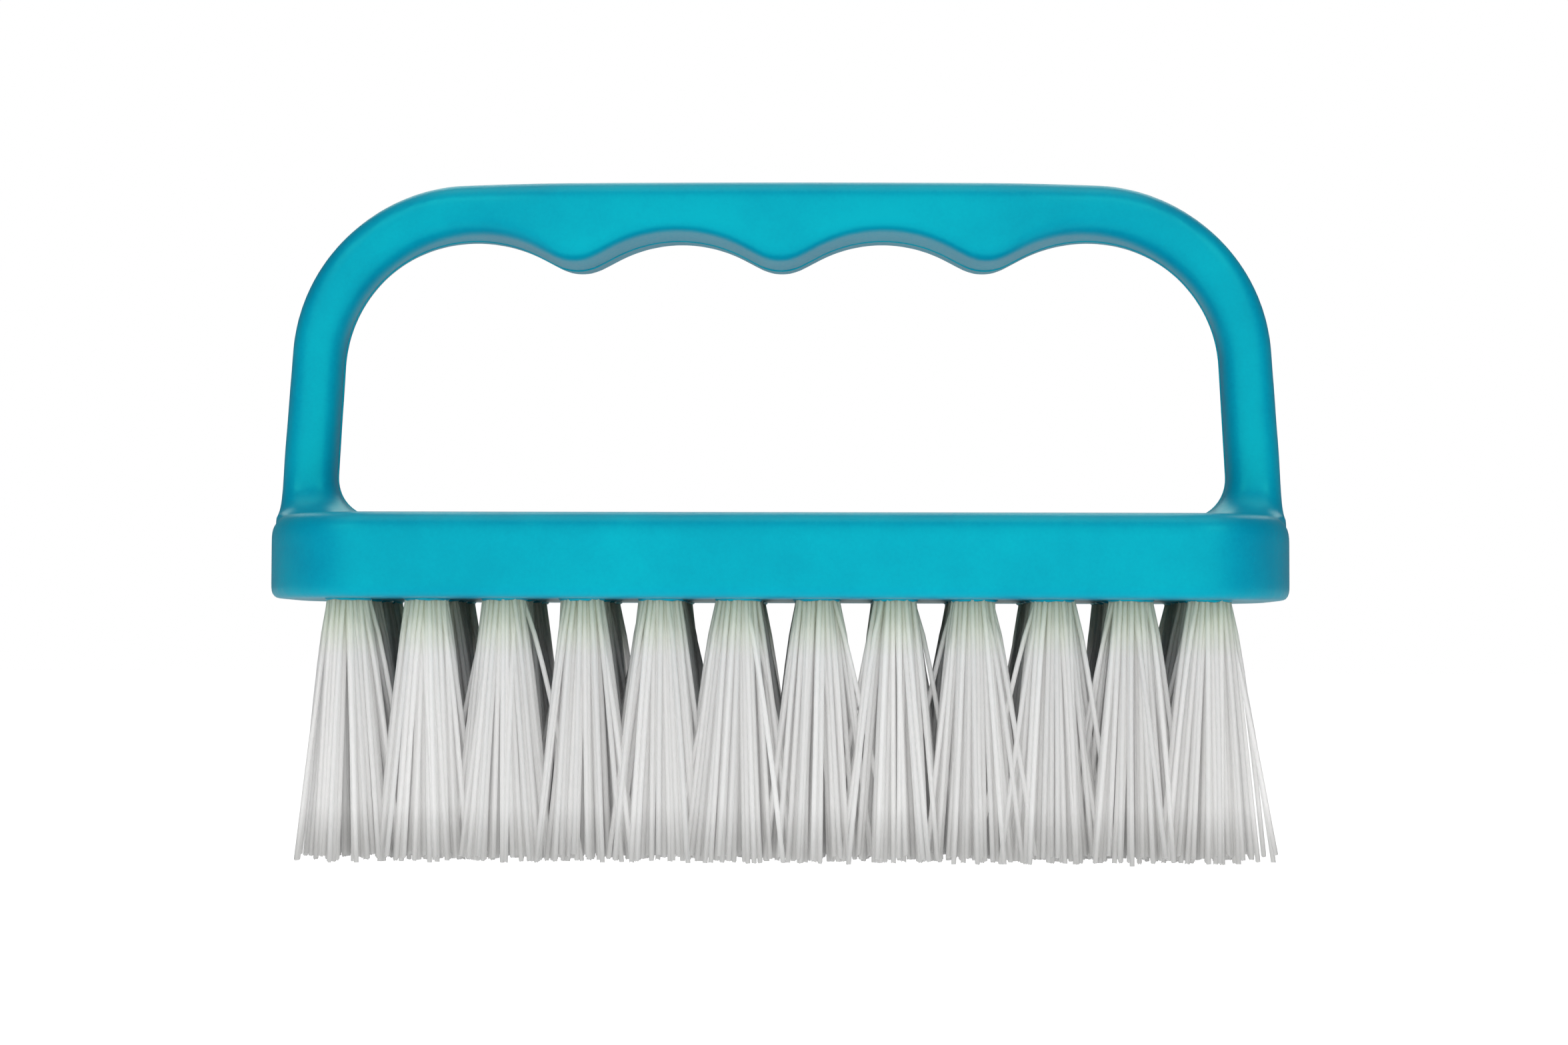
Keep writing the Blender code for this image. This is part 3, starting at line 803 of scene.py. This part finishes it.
def strandTree():
    tree, given = newTree("filamentTufts", {
        "Strands": "Int", "Sides": "Int", "Segments": "Int", "Radius": "Float", "Bundle": "Float",
        "Spin": "Float", "Root Level": "Float", "Fan Level": "Float", "Fan": "Float", "Fan Varies": "Float",
        "Scatter": "Float", "Clump": "Float", "Clump Size": "Float", "Bend": "Float", "Flare": "Float",
        "Flare Varies": "Float", "Stray Share": "Float", "Stray Reach": "Float", "Ragged": "Float",
        "Ragged Power": "Float", "Seed": "Int", "Material": "Material"})
    randomly = "FunctionNodeRandomValue"
    named = "GeometryNodeInputNamedAttribute"
    vectorData = {"data_type": "FLOAT_VECTOR"}

    tufts = addNode(tree, "GeometryNodeAttributeDomainSize", {"component": "MESH"}, {0: given["Geometry"]})
    count = addNode(tree, maths, "MULTIPLY", {0: tufts, 1: given["Strands"]})
    points = addNode(tree, "GeometryNodePoints", {}, {"Count": count})
    index = addNode(tree, "GeometryNodeInputIndex")
    which = addNode(tree, maths, "FLOOR", {
        0: addNode(tree, maths, "DIVIDE", {0: index, 1: given["Strands"]})})
    order = addNode(tree, maths, "MODULO", {0: index, 1: given["Strands"]})

    # where its tuft's hole is, and how that tuft leans, fans and turns
    hole = addNode(tree, "GeometryNodeSampleIndex", vectorData, {
        "Geometry": given["Geometry"], "Value": addNode(tree, "GeometryNodeInputPosition"), "Index": which})
    lean = addNode(tree, "GeometryNodeSampleIndex", vectorData, {
        "Geometry": given["Geometry"], "Value": addNode(tree, named, vectorData, {"Name": "lean"}),
        "Index": which})
    fanNoise, spin = [
        addNode(tree, randomly, {"data_type": "FLOAT"}, {
            2: low, 3: high, "ID": which, "Seed": given["Seed"]}, 1)
        for low, high in ((-1.0, 1.0), (0.0, given["Spin"]))]

    # its place in the bundle, strand by strand round a sunflower spiral
    filled = addNode(tree, maths, "DIVIDE", {
        0: addNode(tree, maths, "ADD", {0: order, 1: 0.5}), 1: given["Strands"]})
    reach = addNode(tree, maths, "MULTIPLY", {
        0: addNode(tree, maths, "SQRT", {0: filled}), 1: given["Bundle"]})
    goldenAngle = math.pi * (3 - math.sqrt(5))
    angle = addNode(tree, maths, "MULTIPLY_ADD", {0: order, 1: goldenAngle, 2: spin})
    rootX, rootY = [
        addNode(tree, maths, "MULTIPLY", {0: reach, 1: addNode(tree, maths, wave, {0: angle})})
        for wave in ("COSINE", "SINE")]
    inBundle = addNode(tree, "ShaderNodeCombineXYZ", {}, {"X": rootX, "Y": rootY})
    rootLift = addNode(tree, "ShaderNodeCombineXYZ", {}, {"Z": given["Root Level"]})
    holeFlat = addNode(tree, vectors, "MULTIPLY", {0: hole, 1: (1, 1, 0)})
    root = addNode(tree, vectors, "ADD", {
        0: addNode(tree, vectors, "ADD", {0: holeFlat, 1: inBundle}), 1: rootLift})
    placed = addNode(tree, "GeometryNodeSetPosition", {}, {"Geometry": points, "Position": root})

    # what chance gives each strand, every draw with a seed of its own
    spans = {
        "FLOAT_VECTOR": ({0: (-1, -1, 0), 1: (1, 1, 0)}, 0),
        "FLOAT": ({2: 0.0, 3: 1.0}, 1),
        "BOOLEAN": ({"Probability": given["Stray Share"]}, 3),
    }
    drawn = {}
    for step, (name, kind) in enumerate((
            ("scatter", "FLOAT_VECTOR"), ("stray", "BOOLEAN"), ("strayWay", "FLOAT_VECTOR"),
            ("bend", "FLOAT_VECTOR"), ("level", "FLOAT"), ("shade", "FLOAT"), ("power", "FLOAT"))):
        span, socket = spans[kind]
        seed = addNode(tree, maths, "ADD", {0: given["Seed"], 1: tuft["seedStep"] * step})
        drawn[name] = addNode(tree, randomly, {"data_type": kind}, {
            **span, "ID": index, "Seed": seed}, socket)

    # how far its tip ends up from straight below its root, and how its way there curves
    fanned = addNode(tree, vectors, "SCALE", {0: inBundle, "Scale": addNode(
        tree, maths, "MULTIPLY_ADD", {0: fanNoise, 1: given["Fan Varies"], 2: given["Fan"]})})
    clumpScale = addNode(tree, maths, "DIVIDE", {0: 1.0, 1: given["Clump Size"]})
    clump = addNode(tree, "ShaderNodeTexNoise", {}, {
        "Vector": root, "Scale": clumpScale, "Detail": 1.0}, "Color")
    drift = addNode(tree, vectors, "MULTIPLY", {
        0: addNode(tree, vectors, "SUBTRACT", {0: clump, 1: (0.5, 0.5, 0.5)}), 1: (2, 2, 0)})
    strayReach = addNode(tree, maths, "MULTIPLY", {0: drawn["stray"], 1: given["Stray Reach"]})
    tip = addNode(tree, vectors, "ADD", {0: fanned, 1: lean})
    for way, far in (
            (drawn["scatter"], given["Scatter"]), (drift, given["Clump"]), (drawn["strayWay"], strayReach)):
        tip = addNode(tree, vectors, "ADD", {
            0: tip, 1: addNode(tree, vectors, "SCALE", {0: way, "Scale": far})})
    bend = addNode(tree, vectors, "SCALE", {0: drawn["bend"], "Scale": given["Bend"]})
    power = addNode(tree, maths, "MULTIPLY_ADD", {
        0: drawn["power"], 1: given["Flare Varies"], 2: given["Flare"]})
    tipLevel = addNode(tree, maths, "MULTIPLY", {
        0: addNode(tree, maths, "POWER", {0: drawn["level"], 1: given["Ragged Power"]}),
        1: given["Ragged"]})

    marked = placed
    for name, kind, value in (
            ("tip", "FLOAT_VECTOR", tip), ("bend", "FLOAT_VECTOR", bend), ("shade", "FLOAT", drawn["shade"]),
            ("cut", "FLOAT_VECTOR", drawn["scatter"]), ("power", "FLOAT", power)):
        marked = addNode(tree, "GeometryNodeStoreNamedAttribute", {"data_type": kind, "domain": "POINT"}, {
            "Geometry": marked, "Name": name, "Value": value})

    # one strand, a rod of unit radius and length that knows how far along it is and where its cut end is
    rod = addNode(tree, "GeometryNodeMeshCylinder", {}, {
        "Vertices": given["Sides"], "Side Segments": given["Segments"], "Radius": 1.0, "Depth": 1.0})
    rodPlace = addNode(tree, "GeometryNodeInputPosition")
    rodZ = addNode(tree, "ShaderNodeSeparateXYZ", {}, {0: rodPlace}, "Z")
    along = addNode(tree, maths, "SUBTRACT", {0: 0.5, 1: rodZ})
    atEnd = addNode(tree, maths, "GREATER_THAN", {0: along, 1: 0.99})    # the lower rim
    rim = addNode(tree, vectors, "SCALE", {0: rodPlace, "Scale": atEnd})
    for name, kind, value in (("along", "FLOAT", along), ("rim", "FLOAT_VECTOR", rim)):
        rod = addNode(tree, "GeometryNodeStoreNamedAttribute", {"data_type": kind, "domain": "POINT"}, {
            "Geometry": rod, "Name": name, "Value": value})
    rod = addNode(tree, "GeometryNodeTransform", {}, {"Geometry": rod, "Translation": (0, 0, -0.5)})
    length = addNode(tree, maths, "SUBTRACT", {0: given["Root Level"], 1: tipLevel})
    size = addNode(tree, "ShaderNodeCombineXYZ", {}, {
        "X": given["Radius"], "Y": given["Radius"], "Z": length})
    strands = addNode(tree, "GeometryNodeInstanceOnPoints", {}, {
        "Points": marked, "Instance": rod, "Scale": size})
    real = addNode(tree, "GeometryNodeRealizeInstances", {}, {0: strands})

    # bends each strand out of its hole, then on to its tip almost straight
    z = addNode(tree, "ShaderNodeSeparateXYZ", {}, {0: addNode(tree, "GeometryNodeInputPosition")}, "Z")
    below = addNode(tree, maths, "SUBTRACT", {0: given["Fan Level"], 1: z})
    out = addNode(tree, maths, "MAXIMUM", {
        0: addNode(tree, maths, "DIVIDE", {0: below, 1: given["Fan Level"]}), 1: 0.0})
    eased = addNode(tree, maths, "POWER", {
        0: out, 1: addNode(tree, named, {"data_type": "FLOAT"}, {"Name": "power"})})
    hump = addNode(tree, maths, "MULTIPLY", {0: out, 1: addNode(tree, maths, "SUBTRACT", {0: 1.0, 1: out})})
    kept = {
        name: addNode(tree, named, vectorData, {"Name": name})
        for name in ("tip", "bend", "rim", "cut")}
    offset = addNode(tree, vectors, "ADD", {
        0: addNode(tree, vectors, "SCALE", {0: kept["tip"], "Scale": eased}),
        1: addNode(tree, vectors, "SCALE", {0: kept["bend"], "Scale": hump})})
    slant = addNode(tree, vectors, "DOT_PRODUCT", {0: kept["rim"], 1: kept["cut"]}, "Value")
    lift = addNode(tree, maths, "MULTIPLY", {
        0: addNode(tree, maths, "ABSOLUTE", {0: slant}), 1: given["Radius"]})
    offset = addNode(tree, vectors, "ADD", {
        0: offset, 1: addNode(tree, "ShaderNodeCombineXYZ", {}, {"Z": lift})})
    shaped = addNode(tree, "GeometryNodeSetPosition", {}, {"Geometry": real, "Offset": offset})
    for name in ("tip", "bend", "rim", "cut", "power"):
        shaped = addNode(tree, "GeometryNodeRemoveAttribute", {}, {"Geometry": shaped, "Name": name})
    return endTree(tree, shaped, given["Material"])


def tuftLeans(row):
    # a small lean of each tuft's own, and one that the tufts at the ends or along the sides share
    chance = random.Random(tuft["seed"] + row)
    leans = []
    for column in range(holes["columns"]):
        x = chance.uniform(-1, 1) * tuft["lean"]
        y = chance.uniform(-1, 1) * tuft["lean"]
        if column == 0:
            x -= tuft["leftLean"]
        if column == holes["columns"] - 1:
            x += tuft["rightLean"]
        if row == 0:
            y -= tuft["sideLean"]
        if row == holes["rows"] - 1:
            y += tuft["sideLean"]
        leans += [x * mm, y * mm, 0]
    return leans


def makeTuftRow(row, tree):
    item = pointsObject(f"tuftRow{row + 1}", [holePlace(row, column) for column in range(holes["columns"])])
    item.data.attributes.new("lean", "FLOAT_VECTOR", "POINT").data.foreach_set("vector", tuftLeans(row))
    bakeTree(item, tree, {
        "Strands": tuft["strands"], "Sides": tuft["sides"], "Segments": tuft["segments"],
        "Radius": tuft["diameter"] / 2 * mm, "Bundle": tuft["bundle"] * mm, "Spin": tuft["spin"],
        "Root Level": blockBase + tuft["inside"] * mm, "Fan Level": blockBase, "Fan": tuft["fan"],
        "Fan Varies": tuft["fanVaries"], "Scatter": tuft["scatter"] * mm, "Clump": tuft["clump"] * mm,
        "Clump Size": tuft["clumpSize"] * mm, "Bend": tuft["bend"] * mm, "Flare": tuft["flare"],
        "Flare Varies": tuft["flareVaries"], "Stray Share": tuft["strayShare"],
        "Stray Reach": tuft["strayReach"] * mm, "Ragged": tuft["ragged"] * mm,
        "Ragged Power": tuft["raggedPower"], "Seed": tuft["seed"] + tuft["rowSeedStep"] * row,
        "Material": monofilament})
    item.data.shade_smooth()
    item.data.set_sharp_from_angle(angle=math.radians(tuft["sharp"]))
    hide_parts(*[f"tuft_r{row + 1}_c{column + 1:02d}" for column in range(holes["columns"])])
    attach(item, "root")
    return item


filamentTree = strandTree()
for row in range(holes["rows"]):
    made = makeTuftRow(row, filamentTree)
    print("tuft row", row + 1, "made:", len(made.data.polygons), "faces")

# Floor, light and camera

studio = {
    "floor": "EEEFF0",
    "floorSize": 6.0,      # metres
    "floorGlow": 1.36,     # plain white that the camera sees in the floor
    "floorShare": 0.75,    # of that white, the rest being lit paper with the brush's shadow
    "pool": (0.0, -0.32, 0.0),   # metres, the middle of a painted pool of light: a patch of floor in front that glows and lights the brush from below
    "poolReach": (0.2, 0.33, 1.0),
    "poolEdge": (0.75, 1.15),    # shares of its reach over which it fades
    "poolGlow": 1.0,
    "sky": "E2EEFA",
    "skyStrength": 0.05,
    "shownSides": 0.08,    # how much of the white backdrop gloss finds at the sides and overhead,
    "shownBehind": 0.15,   # right behind the object,
    "shownFloor": 0.12,    # and in the floor
    "behind": (0.3, 1.0),      # how far back a reflection points, from the sides to right behind
    "overhead": (0.2, 0.55),   # how far up, from level to overhead
    "lamp": "FFFDFA",
    "lampDistance": 0.9,
}
softboxes = (              # azimuth and rise in degrees, width and height in metres, watts
    ("leftPanel", -22, 20, 0.74, 0.68, 1.92),
    ("rightPanel", 22, 20, 0.74, 0.68, 2.1),
    ("leftCore", -40, 34, 0.2, 0.2, 0.65),
    ("rightCore", 40, 34, 0.2, 0.2, 0.65),
    ("lowStrip", 0, 1.5, 1.3, 0.09, 0.75),
    ("topPanel", 0, 84, 1.0, 0.6, 2.5),
    ("rearPanel", 180, 44, 0.9, 0.5, 2.8),
)


def backdropShare(tree, glossShare):
    # the camera and clear materials see the white backdrop, gloss a share of it, and light none
    rays = addNode(tree, "ShaderNodeLightPath").node.outputs
    reflected = addNode(tree, maths, "MULTIPLY", {0: rays["Is Glossy Ray"], 1: glossShare})
    indirect = addNode(tree, maths, "MAXIMUM", {0: reflected, 1: rays["Is Transmission Ray"]})
    return addNode(tree, maths, "MAXIMUM", {0: rays["Is Camera Ray"], 1: indirect})


def makeFloor():
    half = studio["floorSize"] / 2
    bm = bmesh.new()
    bm.faces.new([bm.verts.new((x * half, y * half, 0)) for x, y in ((-1, -1), (1, -1), (1, 1), (-1, 1))])
    floor = meshObject("studioFloor", bm)
    material, tree, shader = newMaterial("paleMattPaperWithGlowPool")
    tree.nodes.remove(shader)
    paper = addNode(tree, "ShaderNodeBsdfDiffuse", {}, {"Color": toLinear(studio["floor"])})
    white = addNode(tree, "ShaderNodeEmission", {}, {"Color": (1, 1, 1, 1), "Strength": studio["floorGlow"]})
    share = addNode(tree, maths, "MULTIPLY", {
        0: backdropShare(tree, studio["shownFloor"]), 1: studio["floorShare"]})
    # a painted pool of light: the floor glows in a soft patch in front of the brush
    place = addNode(tree, "ShaderNodeTexCoord", out="Object")
    fromMiddle = addNode(tree, vectors, "SUBTRACT", {0: place, 1: studio["pool"]})
    shares = addNode(tree, vectors, "DIVIDE", {0: fromMiddle, 1: studio["poolReach"]})
    away = addNode(tree, vectors, "LENGTH", {0: shares}, "Value")
    inner, outer = studio["poolEdge"]
    pool = addNode(tree, "ShaderNodeMapRange", {"interpolation_type": "SMOOTHSTEP"}, {
        "Value": away, "From Min": inner, "From Max": outer, "To Min": studio["poolGlow"], "To Max": 0.0})
    glow = addNode(tree, "ShaderNodeEmission", {}, {"Color": toLinear(studio["floor"]), "Strength": pool})
    paperAndGlowPool = addNode(tree, "ShaderNodeAddShader", {}, {0: paper, 1: glow})
    mixed = addNode(tree, "ShaderNodeMixShader", {}, {0: share, 1: paperAndGlowPool, 2: white})
    tree.links.new(mixed, tree.nodes["Material Output"].inputs["Surface"])
    floor.data.materials.append(material)


def makeWorld():
    world = bpy.data.worlds.new("studio")
    scene.world = world
    world.use_nodes = True
    tree = world.node_tree
    tree.nodes.remove(tree.nodes["Background"])
    light = addNode(tree, "ShaderNodeBackground", {}, {
        "Color": toLinear(studio["sky"]), "Strength": studio["skyStrength"]})
    white = addNode(tree, "ShaderNodeBackground", {}, {"Color": (1, 1, 1, 1), "Strength": 1.0})
    way = addNode(tree, "ShaderNodeSeparateXYZ", {}, {
        0: addNode(tree, "ShaderNodeTexCoord", out="Generated")}).node.outputs
    behind, overhead = [
        addNode(tree, "ShaderNodeMapRange", {}, {
            "Value": way[axis], "From Min": first, "From Max": last, "To Min": start, "To Max": end})
        for axis, (first, last), start, end in (
            ("Y", studio["behind"], studio["shownSides"], studio["shownBehind"]),
            ("Z", studio["overhead"], 1.0, studio["shownSides"]))]
    backdrop = addNode(tree, maths, "MULTIPLY", {0: behind, 1: overhead})
    mixed = addNode(tree, "ShaderNodeMixShader", {}, {0: backdropShare(tree, backdrop), 1: light, 2: white})
    tree.links.new(mixed, tree.nodes["World Output"].inputs["Surface"])


def direction(azimuth, rise):
    # from the object to a lamp or the camera, in degrees from the front and from level
    a, e = math.radians(azimuth), math.radians(rise)
    return Vector((math.sin(a) * math.cos(e), -math.cos(a) * math.cos(e), math.sin(e)))


def addSoftbox(name, azimuth, rise, width, height, power):
    light = bpy.data.lights.new(name, "AREA")
    light.shape = "RECTANGLE"
    light.size = width
    light.size_y = height
    light.energy = power
    light.color = toLinear(studio["lamp"])[:3]
    lamp = bpy.data.objects.new(name, light)
    scene.collection.objects.link(lamp)
    away = direction(azimuth, rise)
    lamp.location = Vector((0, 0, (blockBase + blockTop) / 2)) + away * studio["lampDistance"]
    lamp.rotation_euler = away.to_track_quat("Z", "Y").to_euler()


camera = {                 # the photograph's view: degrees and millimetres
    "azimuth": 1.17,
    "elevation": -2.41,
    "distance": 392.0,
    "aim": (0.47, 0.0, 43.05),
    "roll": 0.16,
    "lens": 69.0,
    "sensorWidth": 36.0,
    "nearest": 10.0,       # that it shows
}


def makeCamera():
    data = bpy.data.cameras.new("camera")
    data.lens = camera["lens"]
    data.sensor_width = camera["sensorWidth"]
    data.clip_start = camera["nearest"] * mm
    item = bpy.data.objects.new("camera", data)
    scene.collection.objects.link(item)
    a, roll = math.radians(camera["azimuth"]), math.radians(camera["roll"])
    back = direction(camera["azimuth"], camera["elevation"])
    level = Vector((math.cos(a), math.sin(a), 0))
    upright = back.cross(level)
    right = math.cos(roll) * level + math.sin(roll) * upright
    up = math.cos(roll) * upright - math.sin(roll) * level
    eye = (Vector(camera["aim"]) + camera["distance"] * back) * mm
    axes = Matrix((right, up, back)).transposed().to_4x4()
    item.matrix_world = Matrix.Translation(eye) @ axes
    scene.camera = item


makeFloor()
makeWorld()
for softbox in softboxes:
    addSoftbox(*softbox)
makeCamera()
scene.view_settings.view_transform = "Standard"
print("studio made")
